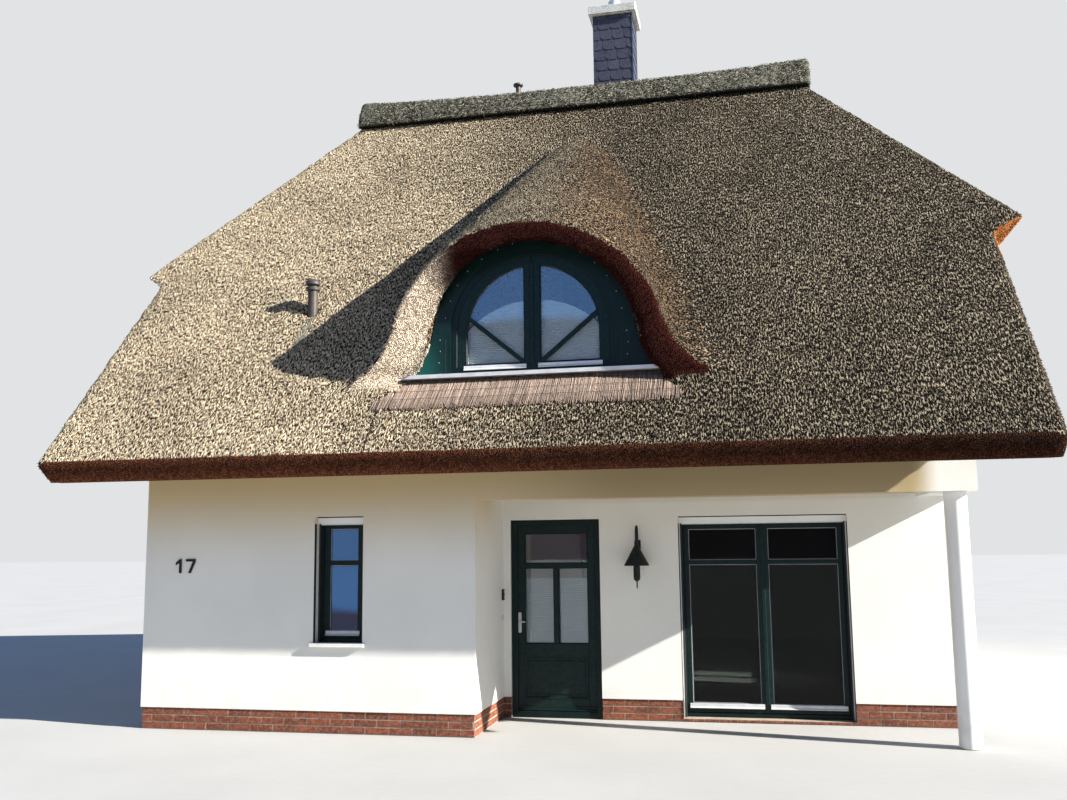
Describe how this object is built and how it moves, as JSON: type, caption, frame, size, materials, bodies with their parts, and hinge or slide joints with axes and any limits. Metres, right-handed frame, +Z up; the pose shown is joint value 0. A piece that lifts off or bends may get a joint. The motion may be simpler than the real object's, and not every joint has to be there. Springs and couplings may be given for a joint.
{
  "type": "thatched cottage",
  "caption": "Thatched cottage with half-hipped reed roof, swept arched dormer, white walls on a brick plinth, slate-clad chimney and a corner porch with a hinged front door.",
  "frame": {"origin": "on the ground, under the middle of the roof's outline", "axes": "+Z up, the front with door and porch faces -Y, +X to the right as seen from the front"},
  "size_m": [10.6, 10.2, 10.2803],
  "materials": {
    "render": "fine white wall render",
    "brick": "red brick with light mortar",
    "concrete": "screed",
    "thatch": "weathered water reed",
    "ridge_thatch": "weathered ridge roll",
    "green_paint": "dark green gloss paint",
    "window_glass": "clear",
    "white_trim": "satin white",
    "column_paint": "white paint",
    "slate": "natural slate shingles",
    "zinc": "folded sheet",
    "steel": "brushed",
    "black_metal": "black satin"
  },
  "bodies": {
    "cottage": {"ground_floor": "concrete", "upper_floor": "render", "front_left_plinth": "brick", "porch_side_plinth": "brick", "porch_back_plinth": "brick", "left_plinth": "brick", "right_plinth": "brick", "back_plinth": "brick", "front_left_wall": "render", "porch_side_wall": "render", "porch_back_wall": "render", "door_lintel": "render", "left_gable_wall": "render", "right_gable_wall": "render", "back_wall": "render", "porch_beam": "render", "porch_column": "column_paint", "door_frame": "green_paint", "french_window_frame": "green_paint", "french_window_glass": "window_glass", "french_window_shutter": "white_trim", "narrow_window_frame": "green_paint", "narrow_window_glass": "window_glass", "narrow_window_shutter": "white_trim", "narrow_window_sill": "white_trim", "wall_lamp": "black_metal", "doorbell": "black_metal", "thatch_front": "thatch", "thatch_back": "thatch", "half_hip_left": "thatch", "half_hip_right": "thatch", "ridge_cap": "ridge_thatch", "dormer_front": "green_paint", "dormer_window_frame": "green_paint", "dormer_window_glass": "window_glass", "dormer_sill": "white_trim", "chimney_stack": "slate", "chimney_cap": "zinc", "chimney_flue": "steel", "slope_vent": "black_metal", "ridge_vent": "black_metal", "left_window_frame": "green_paint", "left_window_glass": "window_glass", "left_upper_window_frame": "green_paint", "left_upper_window_glass": "window_glass", "right_window_frame": "green_paint", "right_window_glass": "window_glass", "right_upper_window_frame": "green_paint", "right_upper_window_glass": "window_glass", "back_window_frame": "green_paint", "back_window_glass": "window_glass"},
    "front_door": {"door_leaf": "green_paint", "door_glass": "window_glass", "door_handle": "steel"}
  },
  "joints": [
    {"name": "front_door_hinge", "type": "hinge", "parent": "cottage", "child": "front_door", "pos_m": [0.5585, -2.942, 1.1], "axis": [0, 0, -1], "range_deg": [0, 90]}
  ]
}
